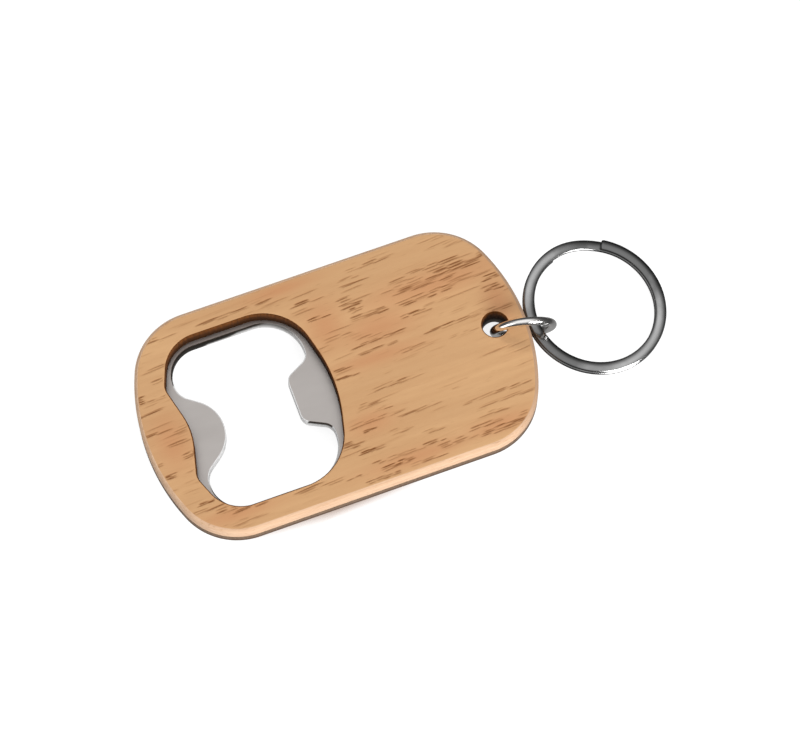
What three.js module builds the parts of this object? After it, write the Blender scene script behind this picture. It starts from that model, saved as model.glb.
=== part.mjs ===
// Keychain bottle opener: a steel opener plate with a wooden cover bonded on it, a jump ring
// through the key hole and a split ring for the keys.
//
// Millimetres, +Z up. X runs along the plate, from the bottle opening to the key hole, and Y across
// it. Z = 0 is the underside of the steel plate. The origin is on that face, on the long axis, in the
// middle of the solid handle between the two openings.

import * as THREE from "three";
import * as BufferGeometryUtils from "three/addons/utils/BufferGeometryUtils.js";

// The plate's outline: straight sides, large end arcs and corner arcs that join them.
const PLATE_LENGTH = 70;
const PLATE_WIDTH = 41.6;
const END_RADIUS = 35.8;
const CORNER_RADIUS = 11.8;
const HANDLE_MIDDLE = 12; // from the middle of the plate to the origin

// The three layers, bottom to top.
const STEEL_THICKNESS = 2;
const FILM_THICKNESS = 0.1;
const WOOD_THICKNESS = 2.9;
const STEEL_EDGE_BREAK = 0.15;
const WOOD_EDGE_BEVEL = 0.5;
const WOOD_OPENING_BREAK = 0.15;
const FILM_SETBACK = 0.2; // the film stops this far inside the wood's edges

// The key hole goes through all three layers.
const KEY_HOLE_X = 29.4; // from the middle of the plate
const KEY_HOLE_RADIUS = 2.25;
const KEY_HOLE_SEGMENTS = 36;

// The openings, as polygons with rounded corners [x, y, corner radius] on the +Y side, measured from
// the middle of the plate. Corners on the axis close the mirrored outline.
const WOOD_OPENING = {
  right: [0.2, 0, 27],
  side: [
    [-3.8, 16.3, 9.5],
    [-25.4, 16.3, 6.8],
    [-28.4, 8.6, 3],
  ],
  left: [-26.3, 0, 13],
};
const STEEL_OPENING = {
  // The flat tooth that hooks under the cap's rim.
  side: [
    [-7.8, 4.25, 2.1],
    [-3.1, 6.6, 2.2],
    [-3.3, 15.4, 7.2],
    [-26.6, 15.4, 5.5],
    [-26.6, 7.7, 3.6],
  ],
  // The round tab that rests on top of the cap.
  left: [-16.4, 0, 6.6],
};

// Jump ring: round wire, bent to a ring that stands up through the key hole and round the plate's end.
const JUMP_MEAN_RADIUS = 5.15;
const JUMP_WIRE_RADIUS = 0.75;
const JUMP_IN_HOLE = new THREE.Vector3(29.05, -0.52, 3); // wire's inner end, from the plate's middle
const JUMP_YAW = THREE.MathUtils.degToRad(-13);
const JUMP_LEAN = THREE.MathUtils.degToRad(8);
const JUMP_CUT_ANGLE = THREE.MathUtils.degToRad(-105);
const JUMP_CUT_WIDTH = 0.15;
const JUMP_STEPS = 72;
const JUMP_WIRE_SIDES = 16;

// Split ring: flattened wire in two close turns. Its first turn climbs onto the second one between
// the two wire ends.
const SPLIT_OUTER_RADIUS = 12.9;
const SPLIT_BAND_WIDTH = 2;
const SPLIT_WIRE_THICKNESS = 0.87;
const SPLIT_TURN_GAP = 0.06;
const SPLIT_EDGE_ROUND = 0.3;
const SPLIT_END_ANGLE = THREE.MathUtils.degToRad(110);
const SPLIT_CLIMB = THREE.MathUtils.degToRad(47);
const SPLIT_STEPS_PER_TURN = 90;
const SPLIT_END_GAP = 0.25; // clear of the plate's end
const SPLIT_HINGE_Y = -0.9;
const SPLIT_HINGE_Z = 1.35;
const SPLIT_PITCH = THREE.MathUtils.degToRad(-10.2);

const steelTop = STEEL_THICKNESS;
const filmTop = steelTop + FILM_THICKNESS;
const woodTop = filmTop + WOOD_THICKNESS;

// How finely curves are cut into facets.
const CREASE_ANGLE = THREE.MathUtils.degToRad(30);
const OUTLINE_ARC_SEGMENTS = 14;
const OPENING_ARC_STEP = THREE.MathUtils.degToRad(9);
const OPENING_ARC_MIN_SEGMENTS = 4;
const WIRE_CORNER_SEGMENTS = 3;
const MERGE_DISTANCE = 1e-5;

// ---------------------------------------------------------------- outlines

function arc(centreX, centreY, radius, from, to, segments) {
  const points = [];
  for (let i = 0; i <= segments; i++) {
    const angle = from + ((to - from) * i) / segments;
    points.push(new THREE.Vector2(centreX + radius * Math.cos(angle), centreY + radius * Math.sin(angle)));
  }
  return points;
}

// The quarter of the plate from the +X tip to the middle of the +Y side, mirrored to four quarters.
function plateOutline() {
  const endCentreX = PLATE_LENGTH / 2 - END_RADIUS;
  const cornerY = PLATE_WIDTH / 2 - CORNER_RADIUS;
  const reach = END_RADIUS - CORNER_RADIUS;
  const cornerX = endCentreX + Math.sqrt(reach * reach - cornerY * cornerY);
  const join = Math.atan2(cornerY, cornerX - endCentreX);
  const quarter = [
    ...arc(endCentreX, 0, END_RADIUS, 0, join, OUTLINE_ARC_SEGMENTS),
    ...arc(cornerX, cornerY, CORNER_RADIUS, join, Math.PI / 2, OUTLINE_ARC_SEGMENTS).slice(1),
  ];
  const mirrored = (points, x, y) => points.map((p) => new THREE.Vector2(x * p.x, y * p.y)).reverse();
  const upper = [...quarter, ...mirrored(quarter, -1, 1)];
  return [...upper, ...mirrored(upper, 1, -1).slice(1, -1)];
}

// A closed polygon whose corners [x, y, radius] are replaced with tangent arcs.
function roundedPolygon(corners) {
  const points = [];
  corners.forEach(([x, y, radius], i) => {
    const corner = new THREE.Vector2(x, y);
    const before = new THREE.Vector2(...corners.at(i - 1)).sub(corner).normalize();
    const after = new THREE.Vector2(...corners[(i + 1) % corners.length]).sub(corner).normalize();
    const half = Math.acos(before.dot(after)) / 2;
    const inwards = before.clone().add(after).normalize();
    const centre = corner.clone().addScaledVector(inwards, radius / Math.sin(half));
    const start = corner.clone().addScaledVector(before, radius / Math.tan(half)).sub(centre).angle();
    const end = corner.clone().addScaledVector(after, radius / Math.tan(half)).sub(centre).angle();
    const turn = THREE.MathUtils.euclideanModulo(end - start + Math.PI, 2 * Math.PI) - Math.PI;
    const segments = Math.max(OPENING_ARC_MIN_SEGMENTS, Math.ceil(Math.abs(turn) / OPENING_ARC_STEP));
    points.push(...arc(centre.x, centre.y, radius, start, start + turn, segments));
  });
  return points;
}

// Corners on the +Y side are repeated on the -Y side, in order round the outline.
function mirroredOpening({ right, side, left }) {
  const below = side.map(([x, y, radius]) => [x, -y, radius]).reverse();
  return roundedPolygon([...(right ? [right] : []), ...side, left, ...below]);
}

// The outline moved outwards by a distance along each point's normal, for a counter-clockwise outline.
function offset(outline, distance) {
  return outline.map((p, i) => {
    const along = outline[(i + 1) % outline.length].clone().sub(outline.at(i - 1)).normalize();
    return new THREE.Vector2(p.x + distance * along.y, p.y - distance * along.x);
  });
}

// ---------------------------------------------------------------- solids

// A closed solid from triangles of points; shared corners are merged and normals worked out.
function closedGeometry(triangles) {
  const corners = new THREE.BufferGeometry().setFromPoints(triangles.flat());
  const merged = BufferGeometryUtils.mergeVertices(corners, MERGE_DISTANCE);
  return BufferGeometryUtils.toCreasedNormals(merged, CREASE_ANGLE);
}

// Walls between two loops of the same number of points; the second loop lies above the first.
function walls(lower, upper) {
  return lower.flatMap((p, i) => {
    const next = (i + 1) % lower.length;
    return [
      [p, lower[next], upper[next]],
      [p, upper[next], upper[i]],
    ];
  });
}

// A plate with holes, from levels that each hold a height, an outline and the holes at that height.
function layeredPlate(levels) {
  const lift = (points, z) => points.map((p) => new THREE.Vector3(p.x, p.y, z));
  const cap = ({ z, outline, holes }) => {
    const points = lift([...outline, ...holes.flat()], z);
    return THREE.ShapeUtils.triangulateShape(outline, holes).map((t) => t.map((index) => points[index]));
  };
  const triangles = cap(levels[0]).map((t) => t.reverse());
  triangles.push(...cap(levels.at(-1)));
  levels.slice(1).forEach((upper, i) => {
    const lower = levels[i];
    const between = (below, above) => walls(lift(below, lower.z), lift(above, upper.z));
    triangles.push(...between(lower.outline, upper.outline));
    lower.holes.forEach((hole, h) => triangles.push(...between(hole, upper.holes[h])));
  });
  return closedGeometry(triangles);
}

// A solid swept through a row of convex loops, closed with a flat end on each side.
function sweptSolid(loops) {
  const fan = (loop) => loop.slice(2).map((p, i) => [loop[0], loop[i + 1], p]);
  const triangles = fan(loops[0]).map((t) => t.reverse());
  triangles.push(...fan(loops.at(-1)));
  loops.slice(1).forEach((loop, i) => triangles.push(...walls(loops[i], loop)));
  return closedGeometry(triangles);
}

// ---------------------------------------------------------------- parts

const outline = plateOutline();
const woodOpening = mirroredOpening(WOOD_OPENING).reverse();
const steelOpening = mirroredOpening(STEEL_OPENING).reverse();
const keyHole = arc(KEY_HOLE_X, 0, KEY_HOLE_RADIUS, 2 * Math.PI, 0, KEY_HOLE_SEGMENTS).slice(1);

// One level of a plate: the edges stand back from the full outline and openings by a distance.
function level(z, opening, outerSetback, holeSetback) {
  return {
    z,
    outline: offset(outline, -outerSetback),
    holes: [offset(opening, -holeSetback), offset(keyHole, -holeSetback)],
  };
}

function makeSteelPlate() {
  return layeredPlate([
    level(0, steelOpening, STEEL_EDGE_BREAK, STEEL_EDGE_BREAK),
    level(STEEL_EDGE_BREAK, steelOpening, 0, 0),
    level(steelTop - STEEL_EDGE_BREAK, steelOpening, 0, 0),
    level(steelTop, steelOpening, STEEL_EDGE_BREAK, STEEL_EDGE_BREAK),
  ]);
}

function makeAdhesiveFilm() {
  return layeredPlate([
    level(steelTop, woodOpening, FILM_SETBACK, FILM_SETBACK),
    level(filmTop, woodOpening, FILM_SETBACK, FILM_SETBACK),
  ]);
}

function makeWoodCover() {
  return layeredPlate([
    level(filmTop, woodOpening, 0, 0),
    level(woodTop - WOOD_EDGE_BEVEL, woodOpening, 0, 0),
    level(woodTop - WOOD_OPENING_BREAK, woodOpening, WOOD_EDGE_BEVEL - WOOD_OPENING_BREAK, 0),
    level(woodTop, woodOpening, WOOD_EDGE_BEVEL, WOOD_OPENING_BREAK),
  ]);
}

// Wire of round section round the local Z axis, with a fine cut where its ends meet.
function makeJumpRing() {
  const cut = JUMP_CUT_WIDTH / JUMP_MEAN_RADIUS;
  const section = arc(JUMP_MEAN_RADIUS, 0, JUMP_WIRE_RADIUS, 0, 2 * Math.PI, JUMP_WIRE_SIDES).slice(1);
  const loops = [];
  for (let i = 0; i <= JUMP_STEPS; i++) {
    const angle = JUMP_CUT_ANGLE + cut / 2 + ((2 * Math.PI - cut) * i) / JUMP_STEPS;
    const turned = new THREE.Matrix4().makeRotationZ(angle);
    loops.push(section.map((p) => new THREE.Vector3(p.x, 0, -p.y).applyMatrix4(turned)));
  }
  return sweptSolid(loops);
}

// Flattened wire in almost two turns round the local Z axis, from the lower turn up to the upper one.
function makeSplitRing() {
  const halfPitch = (SPLIT_WIRE_THICKNESS + SPLIT_TURN_GAP) / 2;
  const length = 4 * Math.PI - SPLIT_CLIMB;
  const steps = Math.round((SPLIT_STEPS_PER_TURN * length) / (2 * Math.PI));
  const middle = SPLIT_OUTER_RADIUS - SPLIT_BAND_WIDTH / 2;
  const u = SPLIT_BAND_WIDTH / 2 - SPLIT_EDGE_ROUND;
  const v = SPLIT_WIRE_THICKNESS / 2 - SPLIT_EDGE_ROUND;
  const corners = [
    [u, -v, 1.5 * Math.PI],
    [u, v, 0],
    [-u, v, 0.5 * Math.PI],
    [-u, -v, Math.PI],
  ];
  const counterClockwise = corners.flatMap(([x, y, from]) =>
    arc(x, y, SPLIT_EDGE_ROUND, from, from + Math.PI / 2, WIRE_CORNER_SEGMENTS),
  );
  const section = counterClockwise.reverse();
  const loops = [];
  for (let i = 0; i <= steps; i++) {
    const along = (length * i) / steps;
    const climbed = THREE.MathUtils.smoothstep(along, 2 * Math.PI - SPLIT_CLIMB, 2 * Math.PI);
    const z = THREE.MathUtils.lerp(-halfPitch, halfPitch, climbed);
    const turned = new THREE.Matrix4().makeRotationZ(SPLIT_END_ANGLE + along);
    loops.push(section.map((p) => new THREE.Vector3(middle + p.x, 0, z + p.y).applyMatrix4(turned)));
  }
  return sweptSolid(loops);
}

// ---------------------------------------------------------------- assembly

function addMesh(parent, name, geometry, color, roughness, metalness) {
  const mesh = new THREE.Mesh(geometry, new THREE.MeshStandardMaterial({ color, roughness, metalness }));
  mesh.name = name;
  parent.add(mesh);
  return mesh;
}

const opener = new THREE.Group();
opener.position.x = -HANDLE_MIDDLE;

addMesh(opener, "steel_opener_plate", makeSteelPlate(), 0xb5afaa, 0.45, 1);
addMesh(opener, "adhesive_film", makeAdhesiveFilm(), 0xd8cfb8, 0.6, 0);
addMesh(opener, "wood_cover", makeWoodCover(), 0xcda479, 0.55, 0);

// The jump ring's pivot lies on its wire inside the key hole; yaw and lean turn the ring about it.
const jumpPivot = new THREE.Group();
jumpPivot.position.copy(JUMP_IN_HOLE);
jumpPivot.rotation.set(JUMP_LEAN, 0, JUMP_YAW, "ZXY");
const jumpRing = addMesh(jumpPivot, "jump_ring", makeJumpRing(), 0x9a9a9a, 0.2, 1);
jumpRing.rotation.x = Math.PI / 2;
jumpRing.position.x = JUMP_MEAN_RADIUS;
opener.add(jumpPivot);

// The split ring's hinge is the middle of its band, where the band passes through the jump ring.
const splitHinge = new THREE.Group();
const splitHingeX = PLATE_LENGTH / 2 + SPLIT_END_GAP + SPLIT_BAND_WIDTH / 2;
splitHinge.position.set(splitHingeX, SPLIT_HINGE_Y, SPLIT_HINGE_Z);
splitHinge.rotation.y = -SPLIT_PITCH;
const splitRing = addMesh(splitHinge, "split_ring", makeSplitRing(), 0x8c8c8c, 0.25, 1);
splitRing.position.x = SPLIT_OUTER_RADIUS - SPLIT_BAND_WIDTH / 2;
opener.add(splitHinge);

export default opener;
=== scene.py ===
import math
import random

import bmesh
import bpy
import numpy as np
from mathutils import Matrix, Vector
from mathutils.geometry import delaunay_2d_cdt


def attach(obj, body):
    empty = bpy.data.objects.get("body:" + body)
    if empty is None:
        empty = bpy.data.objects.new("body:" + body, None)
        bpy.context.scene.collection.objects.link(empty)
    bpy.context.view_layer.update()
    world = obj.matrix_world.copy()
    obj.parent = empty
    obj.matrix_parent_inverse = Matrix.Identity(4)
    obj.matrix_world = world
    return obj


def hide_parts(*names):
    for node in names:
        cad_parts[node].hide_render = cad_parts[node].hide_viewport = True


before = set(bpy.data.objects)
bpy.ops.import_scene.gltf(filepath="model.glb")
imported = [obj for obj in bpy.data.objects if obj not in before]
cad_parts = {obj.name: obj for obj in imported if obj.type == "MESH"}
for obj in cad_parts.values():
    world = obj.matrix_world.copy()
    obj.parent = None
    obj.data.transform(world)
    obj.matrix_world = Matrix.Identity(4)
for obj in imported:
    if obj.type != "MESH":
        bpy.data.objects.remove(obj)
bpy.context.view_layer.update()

# Lengths are in millimetres until a mesh is made, and the camera and lamps are placed in metres.
# The pieces are drawn from the middle of the plate. Materials and floor count from the frame's origin.
MM = 0.001
HANDLE_MIDDLE = 12.0  # from the middle of the plate to the frame's origin

PLATE_LENGTH = 70.0
PLATE_WIDTH = 41.6
END_RADIUS = 35.8
CORNER_RADIUS = 11.8
WOOD_TOP = 5.0
KEY_HOLE_X = 29.4
KEY_HOLE_RADIUS = 2.25

# Corners (x, y, radius) of the two openings on the +Y side; the -Y side mirrors them.
WOOD_OPENING = {
    "right": (0.2, 0, 27),
    "side": [(-3.8, 16.3, 9.5), (-25.4, 16.3, 6.8), (-28.4, 8.6, 3)],
    "left": (-26.3, 0, 13),
}
STEEL_OPENING = {
    "side": [(-7.8, 4.25, 2.1), (-3.1, 6.6, 2.2), (-3.3, 15.4, 7.2), (-26.6, 15.4, 5.5), (-26.6, 7.7, 3.6)],
    "left": (-16.4, 0, 6.6),
}

# Edge profiles from bottom to top: (setback from the full outline, height).
WOOD_EDGE = [(0.10, 2.10), (0.02, 2.15), (0, 2.26), (0, 4.36), (0.02, 4.48), (0.10, 4.62)]
WOOD_EDGE += [(0.34, 4.87), (0.47, 4.965), (0.62, WOOD_TOP)]
WOOD_CUT = [(0.05, 2.10), (0, 2.16), (0, 2.26), (0, 4.36), (0, 4.78), (0.02, 4.88)]
WOOD_CUT += [(0.06, 4.945), (0.12, 4.985), (0.22, WOOD_TOP)]
STEEL_EDGE = [(0.18, 0), (0.05, 0.05), (0, 0.18), (0, 1.0), (0, 1.84), (0.05, 1.96), (0.18, 2.0)]
STEEL_CUT = [(0.12, 0), (0.03, 0.03), (0, 0.14), (0, 1.0), (0, 1.8), (0.06, 1.95), (0.2, 2.0)]

ARC_STEP = math.radians(2.5)
LINE_STEP = 1.5
SHARP_ANGLE = math.radians(38)
MERGE_DISTANCE = 1e-4
TRIANGLES_INSIDE = 1  # asks delaunay_2d_cdt for the triangles inside the loops only
CDT_TOLERANCE = 1e-6
GRID_MARGIN = 0.3  # how far the face's extra points stay from its edges, as a share of a cell
GRID_REACH = 0.6  # how far they start from the long axis, as a share of the width


# ---------------------------------------------------------------- outlines


def arc(cx, cy, radius, start, end, step=ARC_STEP):
    count = max(3, math.ceil(abs(end - start) / step))
    angles = [start + (end - start) * i / count for i in range(count + 1)]
    return [(cx + radius * math.cos(a), cy + radius * math.sin(a)) for a in angles]


def line(a, b):
    """Points between a and b, without both ends."""
    count = max(1, math.ceil(math.dist(a, b) / LINE_STEP))
    return [(a[0] + (b[0] - a[0]) * i / count, a[1] + (b[1] - a[1]) * i / count) for i in range(1, count)]


def plate_outline():
    centre_x = PLATE_LENGTH / 2 - END_RADIUS
    corner_y = PLATE_WIDTH / 2 - CORNER_RADIUS
    reach = END_RADIUS - CORNER_RADIUS
    corner_x = centre_x + math.sqrt(reach**2 - corner_y**2)
    join = math.atan2(corner_y, corner_x - centre_x)
    quarter = arc(centre_x, 0, END_RADIUS, 0, join, ARC_STEP / 3)
    quarter += arc(corner_x, corner_y, CORNER_RADIUS, join, math.pi / 2)[1:]
    left = [(-x, y) for x, y in reversed(quarter)]
    upper = quarter + line(quarter[-1], left[0]) + left
    return upper + [(x, -y) for x, y in reversed(upper)][1:-1]


def rounded_polygon(corners):
    """Points of a closed outline from corners (x, y, radius), each one an arc of its radius."""
    points = []
    for i, (x, y, radius) in enumerate(corners):
        corner = Vector((x, y))
        before = (Vector(corners[i - 1][:2]) - corner).normalized()
        after = (Vector(corners[(i + 1) % len(corners)][:2]) - corner).normalized()
        half = before.angle(after) / 2
        centre = corner + (before + after).normalized() * (radius / math.sin(half))
        start = corner + before * (radius / math.tan(half)) - centre
        end = corner + after * (radius / math.tan(half)) - centre
        a, b = math.atan2(start.y, start.x), math.atan2(end.y, end.x)
        turn = (b - a + math.pi) % (2 * math.pi) - math.pi
        bend = arc(centre.x, centre.y, radius, a, a + turn)
        if points:
            points += line(points[-1], bend[0])
        points += bend
    return points + line(points[-1], points[0])


def mirrored_opening(opening):
    below = [(x, -y, radius) for x, y, radius in reversed(opening["side"])]
    right = [opening["right"]] if "right" in opening else []
    return rounded_polygon(right + opening["side"] + [opening["left"]] + below)


def set_back(loop, distance):
    """The loop moved into the material by a distance; material lies on its left."""
    moved = []
    for i, (x, y) in enumerate(loop):
        before, after = loop[i - 1], loop[(i + 1) % len(loop)]
        along = Vector((after[0] - before[0], after[1] - before[1])).normalized()
        moved.append((x - distance * along.y, y + distance * along.x))
    return moved


def inside(loop, xs, ys):
    """For arrays of points, whether each lies inside the loop."""
    result = np.zeros(xs.shape, bool)
    for (x0, y0), (x1, y1) in zip(loop, loop[1:] + loop[:1]):
        if y0 == y1:
            continue
        crosses = (y0 > ys) != (y1 > ys)
        result ^= crosses & (xs < (x1 - x0) * (ys - y0) / (y1 - y0) + x0)
    return result


OUTLINE = plate_outline()
KEY_HOLE = arc(KEY_HOLE_X, 0, KEY_HOLE_RADIUS, 2 * math.pi, 0, math.radians(5))[1:]


# ---------------------------------------------------------------- meshes


def cap(outer, holes, z, grid=None):
    """Triangles of a flat face with holes, with extra points in rows along the wood's grain."""
    loops = [outer, *holes]
    points = [Vector(p) for loop in loops for p in loop]
    edges, start = [], 0
    for loop in loops:
        count = len(loop)
        edges += [(start + i, start + (i + 1) % count) for i in range(count)]
        start += count
    if grid:
        margin = max(grid) * GRID_MARGIN
        half_length, reach = PLATE_LENGTH / 2, PLATE_WIDTH * GRID_REACH
        columns = np.arange(-half_length, half_length, grid[0])
        xs, ys = np.meshgrid(columns, np.arange(-reach, reach, grid[1]))
        ys += PORE_LEAN * xs
        keep = inside(set_back(outer, margin), xs, ys)
        for hole in holes:
            keep &= ~inside(set_back(hole, margin), xs, ys)
        points += [Vector(p) for p in zip(xs[keep].tolist(), ys[keep].tolist())]
    found, _, triangles, *_ = delaunay_2d_cdt(points, edges, [], TRIANGLES_INSIDE, CDT_TOLERANCE)
    corners = np.array([tuple(v) for v in found])
    faces = np.array(triangles)
    middle = corners[faces].mean(axis=1)
    kept = np.ones(len(faces), bool)
    for hole in holes:
        kept &= ~inside(hole, middle[:, 0], middle[:, 1])
    return [(x, y, z) for x, y in corners.tolist()], [tuple(f) for f in faces[kept].tolist()]


class Builder:
    """Collects the points and faces of one mesh, in millimetres."""

    def __init__(self):
        self.points = []
        self.faces = []
        self.slots = []

    def add(self, points, faces, slot=0):
        base = len(self.points)
        self.points += points
        self.faces += [tuple(base + i for i in f) for f in faces]
        self.slots += [slot] * len(faces)

    def wall(self, loops, slot=0):
        """Quads between rows of closed loops that have the same number of points."""
        count = len(loops[0])
        faces = []
        for below in range(0, (len(loops) - 1) * count, count):
            above = below + count
            for i in range(count):
                after = (i + 1) % count
                faces.append((below + i, below + after, above + after, above + i))
        self.add([p for loop in loops for p in loop], faces, slot)

    def build(self, name, materials, body):
        mesh = bpy.data.meshes.new(name)
        shift = Vector((-HANDLE_MIDDLE, 0, 0))
        mesh.from_pydata([(Vector(p) + shift) * MM for p in self.points], [], self.faces)
        mesh.polygons.foreach_set("material_index", self.slots)
        for material in materials:
            mesh.materials.append(material)
        work = bmesh.new()
        work.from_mesh(mesh)
        bmesh.ops.remove_doubles(work, verts=work.verts, dist=MERGE_DISTANCE * MM)
        bmesh.ops.recalc_face_normals(work, faces=work.faces)
        work.to_mesh(mesh)
        work.free()
        mesh.shade_smooth()
        mesh.set_sharp_from_angle(angle=SHARP_ANGLE)
        made = bpy.data.objects.new(name, mesh)
        bpy.context.scene.collection.objects.link(made)
        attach(made, body)
        return made


def lift(loop, z):
    return [(x, y, z) for x, y in loop]


def plate(builder, outline, cuts, edge, cut_edge, top_grid=None):
    """A plate with rounded edges: faces in slot 0, cut walls in slot 1, outer wall in slot 2."""
    rows = []
    for (edge_back, z), (cut_back, _) in zip(edge, cut_edge):
        rows.append((z, set_back(outline, edge_back), [set_back(c, cut_back) for c in cuts]))
    builder.wall([lift(outer, z) for z, outer, _ in rows], slot=2)
    for i in range(len(cuts)):
        builder.wall([lift(holes[i], z) for z, _, holes in rows], slot=1)
    for (z, outer, holes), grid in ((rows[0], None), (rows[-1], top_grid)):
        builder.add(*cap(outer, holes, z, grid))


# ---------------------------------------------------------------- shader helpers


class Nodes:
    """Small helper to write a node material."""

    def __init__(self, name):
        self.material = bpy.data.materials.new(name)
        self.material.use_nodes = True
        self.tree = self.material.node_tree
        self.tree.nodes.clear()
        self.output = self.node("ShaderNodeOutputMaterial")
        self.surface = self.node("ShaderNodeBsdfPrincipled")
        self.link(self.surface.outputs["BSDF"], self.output.inputs["Surface"])
        self.coords = self.node("ShaderNodeTexCoord").outputs["Object"]

    def node(self, kind, **values):
        made = self.tree.nodes.new(kind)
        for key, value in values.items():
            setattr(made, key, value)
        return made

    def link(self, a, b):
        self.tree.links.new(a, b)

    def plug(self, value, socket):
        if isinstance(value, bpy.types.NodeSocket):
            self.link(value, socket)
        else:
            socket.default_value = value

    def stretched(self, per_mm, turn=0.0):
        """Object coordinates in noise cells: cells per millimetre along x, y and z."""
        made = self.node("ShaderNodeMapping")
        self.link(self.coords, made.inputs["Vector"])
        made.inputs["Rotation"].default_value = (0, 0, turn)
        made.inputs["Scale"].default_value = [v / MM for v in per_mm]
        return made.outputs["Vector"]

    def noise(self, vector, detail=3.0, roughness=0.5, distortion=0.0):
        made = self.node("ShaderNodeTexNoise")
        self.link(vector, made.inputs["Vector"])
        made.inputs["Scale"].default_value = 1.0
        made.inputs["Detail"].default_value = detail
        made.inputs["Roughness"].default_value = roughness
        made.inputs["Distortion"].default_value = distortion
        return made.outputs["Fac"]

    def ramp(self, value, low, high, out_low=0.0, out_high=1.0):
        made = self.node("ShaderNodeMapRange")
        made.clamp = True
        self.link(value, made.inputs["Value"])
        for key, number in zip(("From Min", "From Max", "To Min", "To Max"), (low, high, out_low, out_high)):
            made.inputs[key].default_value = number
        return made.outputs["Result"]

    def math(self, operation, a, b, clamp=False):
        made = self.node("ShaderNodeMath", operation=operation, use_clamp=clamp)
        self.plug(a, made.inputs[0])
        self.plug(b, made.inputs[1])
        return made.outputs["Value"]

    def mix(self, factor, a, b):
        """From a to b by the factor; inputs 6 and 7 and output 2 are the node's colour sockets."""
        made = self.node("ShaderNodeMix", data_type="RGBA")
        self.plug(factor, made.inputs["Factor"])
        self.plug(a, made.inputs[6])
        self.plug(b, made.inputs[7])
        return made.outputs[2]

    def part(self, vector, axis):
        split = self.node("ShaderNodeSeparateXYZ")
        self.link(vector, split.inputs["Vector"])
        return split.outputs[axis]

    def wire_coords(self):
        return self.node("ShaderNodeUVMap", uv_map="wire").outputs["UV"]

    def attribute(self, name):
        return self.node("ShaderNodeAttribute", attribute_name=name).outputs["Fac"]

    def bump(self, height, distance_mm, strength):
        made = self.node("ShaderNodeBump")
        self.link(height, made.inputs["Height"])
        made.inputs["Distance"].default_value = distance_mm * MM
        made.inputs["Strength"].default_value = strength
        self.link(made.outputs["Normal"], self.surface.inputs["Normal"])


def rgb(red, green, blue):
    """A colour given as 0-255 sRGB, in linear light."""
    shares = [c / 255 for c in (red, green, blue)]
    return (*(c / 12.92 if c <= 0.04045 else ((c + 0.055) / 1.055) ** 2.4 for c in shares), 1.0)


def wood_material():
    m = Nodes("oiled_wood")
    broad = m.noise(m.stretched((0.02, 0.16, 0.16)), detail=2)
    bands = m.noise(m.stretched((0.05, 0.75, 0.75), turn=math.radians(-2)), detail=3, distortion=0.3)
    fibre = m.noise(m.stretched((0.35, 7.0, 7.0), turn=math.radians(-2)), detail=4, roughness=0.65)
    flecks = m.noise(m.stretched((0.4, 3.2, 3.2), turn=math.radians(-3)), detail=2)
    colour = m.mix(m.ramp(broad, 0.35, 0.65), rgb(196, 152, 108), rgb(206, 162, 116))
    colour = m.mix(m.ramp(bands, 0.38, 0.66, 0, 0.55), colour, rgb(190, 144, 100))
    colour = m.mix(m.ramp(fibre, 0.3, 0.75, 0, 0.30), colour, rgb(214, 172, 126))
    colour = m.mix(m.ramp(m.attribute("tint"), 0, 1, 0, 0.7), colour, rgb(194, 136, 94))
    colour = m.mix(m.ramp(flecks, 0.63, 0.78, 0, 0.35), colour, rgb(158, 112, 70))
    ragged = m.math("MULTIPLY", m.attribute("pore"), m.ramp(fibre, 0.3, 0.65, 0.75, 1.2))
    colour = m.mix(m.ramp(ragged, 0.05, 0.45, 0, 0.3), colour, rgb(172, 122, 78))
    pore = m.ramp(ragged, 0.26, 0.85)
    colour = m.mix(pore, colour, rgb(126, 78, 38))
    m.plug(colour, m.surface.inputs["Base Color"])
    m.plug(m.ramp(fibre, 0.3, 0.7, 0.5, 0.62), m.surface.inputs["Roughness"])
    m.surface.inputs["Specular IOR Level"].default_value = 0.35
    m.bump(m.math("SUBTRACT", fibre, m.math("MULTIPLY", pore, 1.5)), 0.02, 0.5)
    return m.material


RING_END_SHADE_FROM, RING_END_SHADE_TO = 13.0, 20.0  # painted shade on the edge, along X, towards the rings


def sanded_material():
    """The cover's bevel and side: paler than the oiled face, with painted shade darkening it towards the
    rings.
    """
    m = Nodes("sanded_wood_edge")
    bands = m.noise(m.stretched((0.06, 0.6, 2.2)), detail=3)
    fibre = m.noise(m.stretched((0.5, 6.0, 6.0)), detail=4, roughness=0.65)
    colour = m.mix(m.ramp(bands, 0.35, 0.68), rgb(214, 179, 148), rgb(200, 163, 132))
    colour = m.mix(m.ramp(fibre, 0.35, 0.75, 0, 0.35), colour, rgb(220, 188, 156))
    dashes = m.noise(m.stretched((0.35, 3.0, 4.5)), detail=2)
    colour = m.mix(m.ramp(dashes, 0.58, 0.72, 0, 0.55), colour, rgb(176, 132, 96))
    # painted shade: the edge darkens towards the rings
    ring_end_shade = m.ramp(m.part(m.coords, "X"), RING_END_SHADE_FROM * MM, RING_END_SHADE_TO * MM, 0, 0.9)
    colour = m.mix(ring_end_shade, colour, rgb(176, 142, 114))
    m.plug(colour, m.surface.inputs["Base Color"])
    m.plug(m.ramp(fibre, 0.3, 0.7, 0.5, 0.65), m.surface.inputs["Roughness"])
    m.surface.inputs["Specular IOR Level"].default_value = 0.3
    m.bump(fibre, 0.02, 0.4)
    return m.material


WALL_DARKEST_Z, WALL_UNDARKENED_Z = 3.0, 4.7  # darkest below the first, and not darkened above the second


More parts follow.
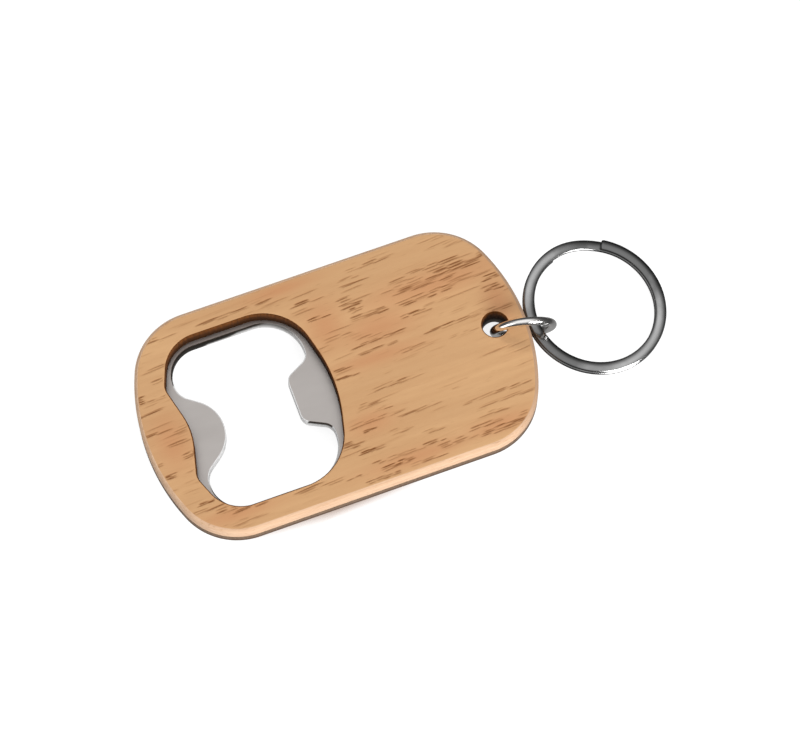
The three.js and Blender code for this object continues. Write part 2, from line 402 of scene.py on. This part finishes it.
def burnt_material():
    """The cover's cut walls, darkened by the laser that cut them, and darker still towards their foot."""
    m = Nodes("laser_burnt_wood")
    streaks = m.noise(m.stretched((3.0, 3.0, 0.25)), detail=3)
    layers = m.noise(m.stretched((0.2, 0.2, 2.5)), detail=2)
    colour = m.mix(m.ramp(streaks, 0.3, 0.7), rgb(80, 45, 17), rgb(112, 66, 30))
    # darker towards the foot of the wall
    deep = m.ramp(m.part(m.coords, "Z"), WALL_DARKEST_Z * MM, WALL_UNDARKENED_Z * MM, 0.8, 0)
    colour = m.mix(deep, colour, rgb(30, 16, 7))
    colour = m.mix(m.ramp(layers, 0.5, 0.75, 0, 0.5), colour, rgb(36, 20, 8))
    m.plug(colour, m.surface.inputs["Base Color"])
    m.plug(m.ramp(streaks, 0.3, 0.7, 0.6, 0.8), m.surface.inputs["Roughness"])
    m.surface.inputs["Specular IOR Level"].default_value = 0.1
    m.bump(streaks, 0.04, 0.6)
    return m.material


def blasted_steel_material():
    m = Nodes("bead_blasted_steel")
    grit = m.noise(m.stretched((9, 9, 9)), detail=3, roughness=0.7)
    cloud = m.noise(m.stretched((0.12, 0.3, 0.3)), detail=3)
    colour = m.mix(m.ramp(cloud, 0.3, 0.7), rgb(199, 193, 189), rgb(206, 200, 196))
    m.plug(colour, m.surface.inputs["Base Color"])
    m.surface.inputs["Metallic"].default_value = 1.0
    m.plug(m.ramp(grit, 0.3, 0.7, 0.36, 0.46), m.surface.inputs["Roughness"])
    m.bump(grit, 0.01, 0.35)
    return m.material


def sheared_steel_material():
    """The cut walls: dark sheared steel, with a painted reflection of the lit floor where the attribute asks
    for it.
    """
    m = Nodes("sheared_steel")
    scoring = m.noise(m.stretched((5, 5, 0.3)), detail=3, roughness=0.6)
    painted_reflection = m.attribute("painted_reflection")
    sheared = m.mix(m.ramp(scoring, 0.3, 0.7), rgb(70, 62, 56), rgb(104, 94, 86))
    # painted reflection of the lit floor, on the walls that the attribute marks
    reflection_colour = m.mix(m.ramp(scoring, 0.3, 0.7), rgb(226, 225, 224), rgb(240, 240, 240))
    m.plug(m.mix(painted_reflection, sheared, reflection_colour), m.surface.inputs["Base Color"])
    m.plug(m.ramp(painted_reflection, 0, 1, 1.0, 0.3), m.surface.inputs["Metallic"])
    m.plug(m.ramp(scoring, 0.3, 0.7, 0.4, 0.6), m.surface.inputs["Roughness"])
    m.bump(scoring, 0.02, 0.5)
    return m.material


TORN_Z, BURNISHED_Z = 1.05, 1.35  # torn below the first, burnished above the second, wander added
TORN_WANDER = 0.5


def punched_side_material():
    """The plate's outer side as punched: smoother and lighter above, rough and darker below; its dark browns
    are a painted reflection of the wood cover.
    """
    m = Nodes("punched_steel_side")
    scoring = m.noise(m.stretched((4, 4, 0.25)), detail=3, roughness=0.6)
    torn = m.noise(m.stretched((2.5, 2.5, 4)), detail=3, roughness=0.6)
    level = m.math("ADD", m.part(m.coords, "Z"), m.math("MULTIPLY", torn, TORN_WANDER * MM))
    burnished = m.ramp(level, TORN_Z * MM, BURNISHED_Z * MM)
    # dark browns: a painted reflection of the wood cover on the steel side
    above = m.mix(m.ramp(scoring, 0.3, 0.7), rgb(142, 114, 92), rgb(162, 135, 113))
    below = m.mix(m.ramp(torn, 0.3, 0.7), rgb(112, 88, 70), rgb(136, 110, 92))
    m.plug(m.mix(burnished, below, above), m.surface.inputs["Base Color"])
    m.surface.inputs["Metallic"].default_value = 0.55
    m.plug(m.ramp(burnished, 0, 1, 0.62, 0.42), m.surface.inputs["Roughness"])
    m.bump(m.mix(burnished, torn, scoring), 0.03, 0.5)
    return m.material


def film_material():
    m = Nodes("adhesive")
    cloud = m.noise(m.stretched((0.5, 0.5, 0.5)), detail=3)
    colour = m.mix(m.ramp(cloud, 0.3, 0.7), rgb(120, 96, 68), rgb(146, 120, 88))
    m.plug(colour, m.surface.inputs["Base Color"])
    m.plug(m.ramp(cloud, 0.3, 0.7, 0.45, 0.6), m.surface.inputs["Roughness"])
    return m.material


UV_PER_RADIAN = 10
WIRE_SHADE_ANGLE = 35  # painted shade on the wire is darkest here and opposite, in degrees about the ring's axis
WIRE_SHADE_PHASE = math.radians(-90 - 2 * WIRE_SHADE_ANGLE)
LINES_ALONG, LINES_ACROSS = 0.25, 14


def wire_material(name, dark, light, smooth, rough, scoring):
    """Drawn and plated wire: fine lines run along it, by the mesh's own coordinates; its colour carries
    painted shade twice round the ring, with random tone.
    """
    m = Nodes(name)
    lines = m.node("ShaderNodeMapping")
    m.link(m.wire_coords(), lines.inputs["Vector"])
    lines.inputs["Scale"].default_value = (LINES_ALONG, LINES_ACROSS, 1)
    drawn = m.noise(lines.outputs["Vector"], detail=3, roughness=0.6)
    cloud = m.noise(m.stretched((0.25, 0.25, 0.25)), detail=2)
    # painted shade: darkest twice round the ring, at the shade angle and opposite
    twice_round = m.math("MULTIPLY", m.part(m.wire_coords(), "X"), 2 / UV_PER_RADIAN)
    twice = m.math("ADD", twice_round, WIRE_SHADE_PHASE)
    shade_and_tone = m.math("ADD", m.math("MULTIPLY", m.math("SINE", twice, 0), 0.5), cloud)
    m.plug(m.mix(m.ramp(shade_and_tone, 0.1, 0.9), dark, light), m.surface.inputs["Base Color"])
    m.surface.inputs["Metallic"].default_value = 1.0
    m.plug(m.ramp(drawn, 0.3, 0.7, smooth, rough), m.surface.inputs["Roughness"])
    m.bump(drawn, 0.006, scoring)
    return m.material


# ---------------------------------------------------------------- wood cover

# Where dark pores gather on the face: (x, y, half length, half height, how many, darkness).
PORE_GROUPS = [
    (-32.3, 8.0, 1.2, 0.7, 4, 1.0),
    (-32.0, 5.3, 2.0, 0.25, 2, 0.9),
    (-32.2, 1.4, 2.2, 0.35, 3, 0.9),
    (-28.6, 0.4, 1.2, 0.5, 3, 0.6),
    (-29.0, -1.6, 1.6, 0.4, 2, 0.6),
    (-28.3, -4.2, 0.9, 0.6, 4, 0.9),
    (-33.6, -4.2, 0.7, 0.4, 2, 0.6),
    (-32.5, -6.8, 0.9, 0.5, 5, 0.9),
    (-33.0, -9.3, 0.7, 0.3, 1, 0.5),
    (-28.3, -13.3, 2.0, 0.3, 3, 0.9),
    (-29.0, -14.6, 3.0, 0.4, 3, 0.7),
    (-25.0, -15.7, 2.0, 0.5, 4, 0.7),
    (-21.5, -16.6, 2.5, 0.4, 3, 0.7),
    (-22.0, -18.6, 3.0, 0.6, 4, 0.4),
    (-9.0, -17.1, 4.0, 0.3, 3, 0.7),
    (-3.0, -17.8, 1.3, 0.2, 2, 0.7),
    (-28.6, 10.4, 2.0, 0.4, 3, 0.6),
    (-29.0, 12.8, 2.4, 0.5, 3, 0.5),
    (-26.5, 17.8, 2.4, 0.3, 3, 0.6),
    (-22.0, 18.8, 2.4, 0.3, 2, 0.5),
    (-12.5, 17.8, 6.5, 0.35, 7, 0.7),
    (-12.0, 19.0, 6.0, 0.3, 3, 0.4),
    (-8.0, 16.9, 3.0, 0.2, 2, 0.4),
    (0.2, 15.3, 2.8, 0.25, 3, 0.9),
    (8.6, 16.9, 2.2, 0.25, 3, 0.7),
    (8.2, 15.8, 2.2, 0.25, 2, 0.7),
    (12.5, 18.3, 4.2, 0.35, 5, 0.6),
    (7.3, 12.9, 1.9, 1.3, 8, 0.75),
    (7.6, 11.0, 1.2, 0.6, 4, 0.8),
    (1.0, 11.9, 2.2, 0.4, 4, 0.8),
    (-1.5, 14.0, 1.5, 0.4, 2, 0.5),
    (9.6, 9.5, 3.6, 0.6, 8, 0.7),
    (3.5, 7.2, 2.6, 0.5, 4, 0.6),
    (7.0, 5.9, 1.8, 0.4, 3, 0.6),
    (9.8, 4.5, 4.6, 0.4, 7, 0.7),
    (8.8, 3.0, 3.6, 0.3, 5, 0.7),
    (17.4, 6.8, 3.4, 0.35, 6, 0.8),
    (20.0, 9.3, 5.0, 0.6, 10, 0.7),
    (17.6, 13.2, 2.6, 0.7, 5, 0.6),
    (20.5, 11.6, 5.5, 0.7, 12, 0.7),
    (27.0, 12.6, 4.5, 0.9, 12, 0.8),
    (24.0, 14.2, 5.5, 0.4, 6, 0.7),
    (28.6, 16.9, 2.6, 0.5, 4, 0.6),
    (28.0, 10.2, 4.4, 0.7, 9, 0.6),
    (22.3, 7.6, 3.0, 0.4, 4, 0.5),
    (32.2, 8.7, 1.8, 0.5, 5, 0.9),
    (31.8, 6.7, 2.0, 0.6, 6, 0.8),
    (27.0, 5.0, 4.0, 0.5, 4, 0.4),
    (24.6, 2.8, 6.6, 0.4, 9, 0.7),
    (32.8, 2.6, 1.2, 0.5, 3, 0.6),
    (15.6, 1.0, 4.0, 0.4, 4, 0.5),
    (23.8, 0.4, 3.0, 0.3, 4, 0.5),
    (16.0, -0.5, 4.0, 0.3, 3, 0.4),
    (1.8, -0.2, 2.4, 0.25, 4, 0.8),
    (1.6, 1.2, 1.6, 0.5, 3, 0.6),
    (9.8, -4.0, 4.4, 0.4, 6, 0.6),
    (29.5, -4.6, 3.8, 0.3, 3, 0.5),
    (3.6, -6.1, 1.8, 0.5, 4, 0.6),
    (6.0, -7.8, 2.0, 0.4, 3, 0.6),
    (4.0, -9.2, 5.0, 0.4, 7, 0.6),
    (12.2, -10.1, 3.8, 0.25, 4, 0.6),
    (2.2, -10.6, 1.2, 0.25, 3, 0.8),
    (-1.6, -12.1, 2.0, 0.7, 5, 0.7),
    (7.4, -12.5, 1.8, 0.5, 4, 0.5),
    (25.6, -11.7, 6.6, 0.3, 8, 0.75),
    (26.6, -13.3, 5.6, 0.3, 5, 0.55),
    (1.6, -14.3, 2.4, 0.3, 5, 0.9),
    (13.0, -14.4, 2.0, 0.5, 4, 0.5),
    (24.4, -14.9, 2.4, 0.4, 4, 0.6),
    (5.8, -16.8, 5.0, 0.4, 8, 0.7),
    (12.0, -16.4, 2.2, 0.4, 4, 0.7),
    (5.0, -18.1, 2.8, 0.5, 8, 0.8),
    (16.0, -17.6, 3.4, 0.5, 6, 0.6),
    (21.8, -16.6, 3.2, 0.4, 5, 0.7),
    (24.4, -18.1, 4.2, 0.6, 10, 0.75),
    (29.0, -17.0, 1.8, 0.5, 4, 0.6),
    (1.6, -19.5, 3.2, 0.4, 7, 0.8),
    (10.0, -19.2, 3.0, 0.3, 4, 0.6),
    (32.0, 13.2, 1.0, 0.6, 3, 0.7),
]
PORE_CROWDING = 1.15
PORE_ROW_GAP = 0.45
PORE_SHIFT = 0.5  # how far a pore strays along its row, as a share of its half of the row's step
PORE_SIDE_SHIFT = 0.3  # and across the rows, as a share of their gap
PORE_STRETCH = (0.8, 1.5)  # its half length, as a share of half the row's step
PORE_SHADES = (0.6, 1.2)  # its darkness, as a share of its group's
PORE_LENGTHS = (0.7, 3.4)  # half lengths and half widths, here and below
PORE_WIDTHS = (0.14, 0.21)
PORE_LEAN = math.tan(math.radians(3.5))
PORE_LEANS = (0.7, 1.3)  # one pore's lean, as a share of that
PORE_WAVE = 0.04
PORE_WAVE_TURN = 1.3  # radians of the wave for each millimetre
PORE_FULLNESS = 1.2  # above 1, a pore keeps its full depth for longer along its middle
PORE_DEPTH = 0.04
PORE_SEED = 7
PORE_NEARBY = (1.3, 1.2)  # half lengths along X, and millimetres along Y

STRAY_PORES = 160
STRAY_PLACE = (34, 20)  # how far from the middle they reach along X and Y
STRAY_LENGTHS = (0.7, 3.5)
STRAY_WIDTHS = (0.13, 0.2)
STRAY_DARKNESS = (0.2, 0.55)

FACE_GRID = (0.55, 0.095)
FLAT_DEPTH = 0.001  # only points above this depth belong to the face

# Redder wood between the lighter streaks: (x, y, half length, half height).
RED_ZONES = [
    (-4.0, 19.0, 6.0, 1.2),
    (-30.5, -1.0, 3.0, 5.0),
    (22.0, 10.8, 13.0, 2.6),
    (10.0, 6.5, 7.0, 3.0),
    (1.5, 10.0, 3.5, 4.5),
    (31.5, 4.0, 2.5, 5.0),
    (8.0, 1.5, 8.0, 1.5),
    (-24.0, -17.0, 7.0, 1.6),
    (8.0, -18.0, 9.0, 1.6),
    (24.0, -17.4, 6.0, 1.6),
    (3.0, -9.5, 4.0, 2.0),
]


def group_pores(draw, x, y, half_length, half_height, count, dark):
    """The pores of one group, set out in rows along the grain."""
    wanted = round(PORE_CROWDING * count)
    rows = min(wanted, int(2 * half_height / PORE_ROW_GAP) + 1)
    half_step = half_length / math.ceil(wanted / rows)
    pores = []
    for i in range(wanted):
        column, row = divmod(i, rows)
        along = draw.uniform(-PORE_SHIFT, PORE_SHIFT) * half_step
        aside = draw.uniform(-PORE_SIDE_SHIFT, PORE_SIDE_SHIFT) * PORE_ROW_GAP
        middle_x = x - half_length + half_step * (2 * column + 1) + along
        middle_y = y + half_height * ((2 * row + 1) / rows - 1) + aside
        length = min(max(half_step * draw.uniform(*PORE_STRETCH), PORE_LENGTHS[0]), PORE_LENGTHS[1])
        width = draw.uniform(*PORE_WIDTHS)
        pores.append((middle_x, middle_y, length, width, dark * draw.uniform(*PORE_SHADES)))
    return pores


def pore_field(xs, ys):
    """How deep in a pore each point lies, from 0 to about 1; only points near a pore are worked out."""
    draw = random.Random(PORE_SEED)
    pores = []
    for group in PORE_GROUPS:
        pores += group_pores(draw, *group)
    for _ in range(STRAY_PORES):
        middle = [draw.uniform(-reach, reach) for reach in STRAY_PLACE]
        shape = [draw.uniform(*limits) for limits in (STRAY_LENGTHS, STRAY_WIDTHS, STRAY_DARKNESS)]
        pores.append((*middle, *shape))
    depth = np.zeros(xs.shape)
    for x, y, length, width, dark in pores:
        wave, phase = draw.uniform(0, PORE_WAVE), draw.uniform(0, math.tau)
        lean = PORE_LEAN * draw.uniform(*PORE_LEANS)
        near = np.flatnonzero((abs(xs - x) < length * PORE_NEARBY[0]) & (abs(ys - y) < PORE_NEARBY[1]))
        dx = xs[near] - x
        dy = ys[near] - y - lean * dx - wave * np.sin(dx * PORE_WAVE_TURN + phase)
        across = np.exp(-((dy / width) ** 2))
        along = np.sqrt(np.clip(PORE_FULLNESS - (dx / length) ** 2, 0, 1))
        depth[near] = np.maximum(depth[near], dark * across * along)
    return depth


def zone_field(xs, ys):
    """How red the wood is at each point, from 0 to 1."""
    field = np.zeros(xs.shape)
    for x, y, half_length, half_height in RED_ZONES:
        field = np.maximum(field, np.exp(-(((xs - x) / half_length) ** 2) - ((ys - y) / half_height) ** 2))
    return field


def make_wood_cover():
    builder = Builder()
    opening = mirrored_opening(WOOD_OPENING)[::-1]
    plate(builder, OUTLINE, [opening, KEY_HOLE], WOOD_EDGE, WOOD_CUT, top_grid=FACE_GRID)
    materials = [wood_material(), burnt_material(), sanded_material()]
    made = builder.build("oiled_cover", materials, "opener")
    mesh = made.data
    points = np.empty(len(mesh.vertices) * 3)
    mesh.vertices.foreach_get("co", points)
    points = points.reshape(-1, 3)
    xs, ys = points[:, 0] / MM + HANDLE_MIDDLE, points[:, 1] / MM
    on_face = points[:, 2] / MM > WOOD_TOP - FLAT_DEPTH
    pores = np.where(on_face, pore_field(xs, ys), 0)
    tint = np.where(on_face, zone_field(xs, ys), 0)
    points[:, 2] -= pores * PORE_DEPTH * MM
    mesh.vertices.foreach_set("co", points.ravel())
    for name, values in (("pore", pores), ("tint", tint)):
        mesh.attributes.new(name, "FLOAT", "POINT").data.foreach_set("value", values.astype(np.float32))
    mesh.update()
    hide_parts("wood_cover")


# ---------------------------------------------------------------- steel plate and film


TOOTH_CORNER_X = -8.5
TOOTH_CORNER_Y = (-6.9, -4.6)
TOOTH_CORNER_REFLECTION_Z = 1.2  # the corner carries the painted reflection below this height only
REFLECTION_Y = 9.5  # tab and tooth walls carry the painted reflection up to here, on both sides of the long axis
NEAR_FADE_Y = -11.5  # past that, the painted reflection fades out by here on the near wall's left
NEAR_FADE_X = (-14.0, -7.0)  # and it fades in again between these towards the tooth
FAR_FADE_Y = 13.0  # the far wall's painted reflection has dimmed fully by here
FAR_START_X = -20.5  # where the far wall's painted reflection starts at the underside
FAR_SLANT = 6.0  # and how much further on it starts for each millimetre of height
FAR_DARKENING = 0.36  # how much the far wall's painted reflection dims, for each millimetre of height


def fade(value, low, high):
    return min(max((value - low) / (high - low), 0.0), 1.0)


def painted_reflection_share(x, y, z):
    """How much painted reflection of the lit floor a cut wall carries, from 0 to 1; the key hole, at
    positive X, carries none.
    """
    if x > 0:
        return 0.0
    if y > REFLECTION_Y:
        started = fade(x - FAR_SLANT * z, FAR_START_X, FAR_START_X + 1)
        return started * (1 - FAR_DARKENING * z * fade(y, REFLECTION_Y, FAR_FADE_Y))
    if y < -REFLECTION_Y:
        return max(fade(y, NEAR_FADE_Y, -REFLECTION_Y), fade(x, *NEAR_FADE_X))
    at_corner = x > TOOTH_CORNER_X and TOOTH_CORNER_Y[0] < y < TOOTH_CORNER_Y[1]
    return 0.0 if at_corner and z > TOOTH_CORNER_REFLECTION_Z else 1.0


def make_steel_plate():
    builder = Builder()
    opening = mirrored_opening(STEEL_OPENING)[::-1]
    plate(builder, OUTLINE, [opening, KEY_HOLE], STEEL_EDGE, STEEL_CUT)
    materials = [blasted_steel_material(), sheared_steel_material(), punched_side_material()]
    made = builder.build("opener_plate", materials, "opener")
    for face in made.data.polygons:
        face.use_smooth = face.material_index != 0
    places = [v.co / MM for v in made.data.vertices]
    # how much painted reflection of the lit floor each point of the cut walls carries
    shares = [painted_reflection_share(place.x + HANDLE_MIDDLE, place.y, place.z) for place in places]
    made.data.attributes.new("painted_reflection", "FLOAT", "POINT").data.foreach_set("value", shares)
    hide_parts("steel_opener_plate")


def finish_film():
    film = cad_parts["adhesive_film"]
    film.data.materials.clear()
    film.data.materials.append(film_material())


# ---------------------------------------------------------------- rings

JUMP_MEAN_RADIUS = 5.15
JUMP_WIRE_RADIUS = 0.75
JUMP_IN_HOLE = (29.05, -0.52, 3.0)
JUMP_YAW = math.radians(-13)
JUMP_LEAN = math.radians(8)
JUMP_CUT_ANGLE = math.radians(-105)
JUMP_CUT_WIDTH = 0.15
JUMP_ENDS = [(0.0, 0.86), (0.004, 0.95), (0.012, 1.0)]  # share of the length, scale of the section

SPLIT_OUTER_RADIUS = 12.9
SPLIT_BAND_WIDTH = 2.0
SPLIT_WIRE_THICKNESS = 0.87
SPLIT_TURN_GAP = 0.06
SPLIT_END_ANGLE = math.radians(110)
SPLIT_CLIMB = math.radians(47)
SPLIT_HINGE = (36.25, -0.9, 1.35)
SPLIT_PITCH = math.radians(-10.2)
SPLIT_ENDS = [(0.0, 0.72), (0.0006, 0.88), (0.0016, 0.97), (0.003, 1.0)]  # as JUMP_ENDS
SPLIT_BULGE = 2 / 2.05  # the section's power: 1 is an ellipse, and smaller is squarer


def swept_wire(builder, stations, section):
    """A wire from stations (matrix, scale of the section) with domed ends."""
    loops = [[tuple(turn @ Vector((x * k, 0, y * k))) for x, y in section] for turn, k in stations]
    builder.wall(loops)
    count = len(section)
    for loop, face in ((loops[0], range(count)), (loops[-1], range(count - 1, -1, -1))):
        builder.add(loop, [tuple(face)])


def domed(ends, steps, skipped):
    """Shares of the wire's length with the section's scale; the ends stand for the skipped steps."""
    middle = [(i / steps, 1.0) for i in range(skipped, steps - skipped + 1)]
    return ends + middle + [(1 - share, k) for share, k in reversed(ends)]


def wire_uv(made, centre_matrix):
    """UV: along the wire by the angle about the ring's axis, and across it by radius plus height."""
    layer = made.data.uv_layers.new(name="wire")
    back = centre_matrix.inverted()
    from_middle = Vector((HANDLE_MIDDLE, 0, 0))
    for polygon in made.data.polygons:
        first = None
        for corner in polygon.loop_indices:
            point = made.data.vertices[made.data.loops[corner].vertex_index].co / MM
            local = back @ (point + from_middle)
            radius = math.hypot(local.x, local.y)
            angle = math.atan2(local.y, local.x)
            if first is not None:
                angle += 2 * math.pi * round((first - angle) / (2 * math.pi))
            first = angle if first is None else first
            layer.data[corner].uv = (angle * UV_PER_RADIAN, radius + local.z)


def make_jump_ring():
    tilt = Matrix.Rotation(JUMP_YAW, 4, "Z") @ Matrix.Rotation(JUMP_LEAN, 4, "X")
    out = Matrix.Translation((JUMP_MEAN_RADIUS, 0, 0))
    ring = Matrix.Translation(JUMP_IN_HOLE) @ tilt @ out @ Matrix.Rotation(math.pi / 2, 4, "X")
    cut = JUMP_CUT_WIDTH / JUMP_MEAN_RADIUS
    sides = 28
    section = []
    for i in range(sides):
        a = 2 * math.pi * i / sides
        section.append((JUMP_WIRE_RADIUS * math.cos(a), -JUMP_WIRE_RADIUS * math.sin(a)))
    stations = []
    for share, k in domed(JUMP_ENDS, steps=144, skipped=3):
        angle = JUMP_CUT_ANGLE + cut / 2 + (2 * math.pi - cut) * share
        stations.append((ring @ Matrix.Rotation(angle, 4, "Z") @ out, k))
    builder = Builder()
    swept_wire(builder, stations, section)
    dark, light = rgb(240, 238, 236), rgb(250, 248, 246)
    material = wire_material("nickel_plated_wire", dark, light, smooth=0.14, rough=0.2, scoring=0.08)
    made = builder.build("round_wire_ring", [material], "jump_ring")
    wire_uv(made, ring)
    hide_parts("jump_ring")
    return made


def band_section():
    """The flattened wire: rounded corners and slightly crowned faces."""
    half_width, half_height = SPLIT_BAND_WIDTH / 2, SPLIT_WIRE_THICKNESS / 2
    points = []
    sides = 40
    for i in range(sides):
        a = 2 * math.pi * i / sides
        across, up = [math.copysign(abs(v) ** SPLIT_BULGE, v) for v in (math.cos(a), math.sin(a))]
        points.append((half_width * across, half_height * up))
    return points


def make_split_ring():
    hinge = Matrix.Translation(SPLIT_HINGE) @ Matrix.Rotation(-SPLIT_PITCH, 4, "Y")
    middle = SPLIT_OUTER_RADIUS - SPLIT_BAND_WIDTH / 2
    ring = hinge @ Matrix.Translation((middle, 0, 0))
    half_pitch = (SPLIT_WIRE_THICKNESS + SPLIT_TURN_GAP) / 2
    length = 4 * math.pi - SPLIT_CLIMB
    stations = []
    for share, k in domed(SPLIT_ENDS, steps=400, skipped=2):
        along = length * share
        rise = fade(along, 2 * math.pi - SPLIT_CLIMB, 2 * math.pi)
        z = half_pitch * (2 * rise * rise * (3 - 2 * rise) - 1)
        turned = ring @ Matrix.Rotation(SPLIT_END_ANGLE + along, 4, "Z")
        stations.append((turned @ Matrix.Translation((middle, 0, z)), k))
    builder = Builder()
    swept_wire(builder, stations, band_section()[::-1])
    # the split ring's painted shade runs from the darker to the lighter grey
    dark, light = rgb(118, 118, 118), rgb(204, 204, 204)
    material = wire_material("spring_steel_wire", dark, light, smooth=0.12, rough=0.22, scoring=0.4)
    made = builder.build("key_ring", [material], "split_ring")
    wire_uv(made, ring)
    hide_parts("split_ring")
    return made


make_wood_cover()
make_steel_plate()
finish_film()
jump_ring = make_jump_ring()
split_ring = make_split_ring()


# ---------------------------------------------------------------- studio

FLOOR_HALF = 4000
FLOOR_SLOPE = -0.0413  # the opener rests on its left end and on the jump ring
CONTACT_REACH = 1.8
SHADE_TURN = 0.35  # the contact shadow lies on the near side, turned a little to the right
SHADE_NEAR_Y = (-14, -8)  # whole before the first, gone beyond the second
SHADE_RIGHT_X = (19, 24)  # and the same towards the rings
SHADE_GLOW, OPEN_GLOW = 0.25, 0.6  # the floor's own light: in the shadow, and added in the open


def floor_material():
    """A pale floor that glows a little, with a short contact shadow along the plate's near side."""
    m = Nodes("pale_floor")
    cloud = m.noise(m.stretched((0.01, 0.01, 0.01)), detail=2)
    colour = m.mix(m.ramp(cloud, 0.3, 0.7), (0.3, 0.3, 0.3, 1), (0.32, 0.32, 0.32, 1))
    m.plug(colour, m.surface.inputs["Base Color"])
    m.surface.inputs["Roughness"].default_value = 0.9
    m.surface.inputs["Specular IOR Level"].default_value = 0.1
    nearby = m.node("ShaderNodeAmbientOcclusion", samples=8)
    nearby.inputs["Distance"].default_value = CONTACT_REACH * MM
    x, y = m.part(m.coords, "X"), m.part(m.coords, "Y")
    turned = m.math("SUBTRACT", y, m.math("MULTIPLY", x, SHADE_TURN))
    beyond = m.ramp(turned, *(v * MM for v in SHADE_NEAR_Y))
    lit_side = m.math("ADD", beyond, m.ramp(x, *(v * MM for v in SHADE_RIGHT_X)))
    open_sky = m.math("ADD", m.ramp(nearby.outputs["AO"], 0.5, 0.97), lit_side, clamp=True)
    m.plug(m.mix(open_sky, (0.9, 0.52, 0.33, 1), (1, 1, 1, 1)), m.surface.inputs["Emission Color"])
    glow = m.math("ADD", m.math("MULTIPLY", open_sky, OPEN_GLOW), SHADE_GLOW)
    m.plug(glow, m.surface.inputs["Emission Strength"])
    return m.material


def make_floor():
    left = -PLATE_LENGTH / 2 - HANDLE_MIDDLE
    half = FLOOR_HALF
    square = [(-half, -half), (half, -half), (half, half), (-half, half)]
    corners = [(x * MM, y * MM, FLOOR_SLOPE * (x - left) * MM) for x, y in square]
    mesh = bpy.data.meshes.new("floor")
    mesh.from_pydata(corners, [], [(0, 1, 2, 3)])
    mesh.materials.append(floor_material())
    floor = bpy.data.objects.new("floor", mesh)
    bpy.context.scene.collection.objects.link(floor)
    floor.visible_glossy = False


# The sky's grey by the sine of its height; it is white straight above.
SKY_BELOW = 0.3
SKY = [(-0.7, 0.25), (-0.35, 0.05), (0.3, 0.07), (0.5, 0.13), (0.72, 0.38), (0.86, 0.88)]


def make_world():
    world = bpy.data.worlds.new("studio")
    bpy.context.scene.world = world
    world.use_nodes = True
    tree = world.node_tree
    tree.nodes.clear()
    output = tree.nodes.new("ShaderNodeOutputWorld")
    background = tree.nodes.new("ShaderNodeBackground")
    coords = tree.nodes.new("ShaderNodeTexCoord")
    split = tree.nodes.new("ShaderNodeSeparateXYZ")
    ramp = tree.nodes.new("ShaderNodeValToRGB")
    tree.links.new(coords.outputs["Generated"], split.inputs["Vector"])
    height = tree.nodes.new("ShaderNodeMapRange")
    height.inputs["From Min"].default_value = -1.0
    tree.links.new(split.outputs["Z"], height.inputs["Value"])
    tree.links.new(height.outputs["Result"], ramp.inputs["Fac"])
    tree.links.new(ramp.outputs["Color"], background.inputs["Color"])
    backdrop = tree.nodes.new("ShaderNodeBackground")
    backdrop.inputs["Color"].default_value = (1, 1, 1, 1)
    seen = tree.nodes.new("ShaderNodeMixShader")
    tree.links.new(tree.nodes.new("ShaderNodeLightPath").outputs["Is Camera Ray"], seen.inputs["Fac"])
    tree.links.new(background.outputs["Background"], seen.inputs[1])
    tree.links.new(backdrop.outputs["Background"], seen.inputs[2])
    tree.links.new(seen.outputs["Shader"], output.inputs["Surface"])
    stops = ramp.color_ramp.elements
    stops[0].color = (SKY_BELOW, SKY_BELOW, SKY_BELOW, 1)
    stops[1].color = (1, 1, 1, 1)
    for sine, grey in SKY:
        stops.new(0.5 + 0.5 * sine).color = (grey, grey, grey, 1)


def softbox(name, direction, distance, size, power, mirrored=True, only_on=()):
    lamp = bpy.data.lights.new(name, "AREA")
    lamp.shape = "RECTANGLE"
    lamp.size, lamp.size_y = size
    lamp.energy = power
    made = bpy.data.objects.new(name, lamp)
    aim = Vector(direction).normalized()
    made.location = aim * distance
    made.rotation_euler = aim.to_track_quat("Z", "Y").to_euler()
    made.visible_glossy = mirrored
    if only_on:
        lit = bpy.data.collections.new(name)
        for thing in only_on:
            lit.objects.link(thing)
        made.light_linking.receiver_collection = lit
    bpy.context.scene.collection.objects.link(made)


make_floor()
make_world()
softbox("back", (0.1, 0.8, 0.8), 1.2, (0.3, 0.3), 3.9, mirrored=False)
softbox("front", (0.16, -0.9, 0.43), 1.1, (0.6, 0.6), 14.2, mirrored=False)
softbox("front_right", (0.46, -0.83, 0.43), 1.1, (0.6, 0.6), 12.6, only_on=(jump_ring, split_ring))
softbox("left", (-0.9, -0.2, 0.4), 1.2, (0.7, 1.3), 5.0, only_on=(jump_ring,))

CAMERA_AZIMUTH = math.radians(-20.19)
CAMERA_ELEVATION = math.radians(70.54)
CAMERA_DISTANCE = 0.6041
CAMERA_TARGET = Vector((-0.00077, -0.0014, 0))
CAMERA_LENS = 155.5
CAMERA_SENSOR = 36
CAMERA_NEAR = 0.01


def make_camera():
    data = bpy.data.cameras.new("camera")
    data.lens = CAMERA_LENS
    data.sensor_width = CAMERA_SENSOR
    data.clip_start = CAMERA_NEAR
    camera = bpy.data.objects.new("camera", data)
    across = math.cos(CAMERA_ELEVATION)
    away = Vector((math.sin(CAMERA_AZIMUTH) * across, -math.cos(CAMERA_AZIMUTH) * across, 0))
    away.z = math.sin(CAMERA_ELEVATION)
    camera.location = CAMERA_TARGET + away * CAMERA_DISTANCE
    camera.rotation_euler = away.to_track_quat("Z", "Y").to_euler()
    bpy.context.scene.collection.objects.link(camera)
    bpy.context.scene.camera = camera


make_camera()
bpy.context.scene.view_settings.view_transform = "Standard"
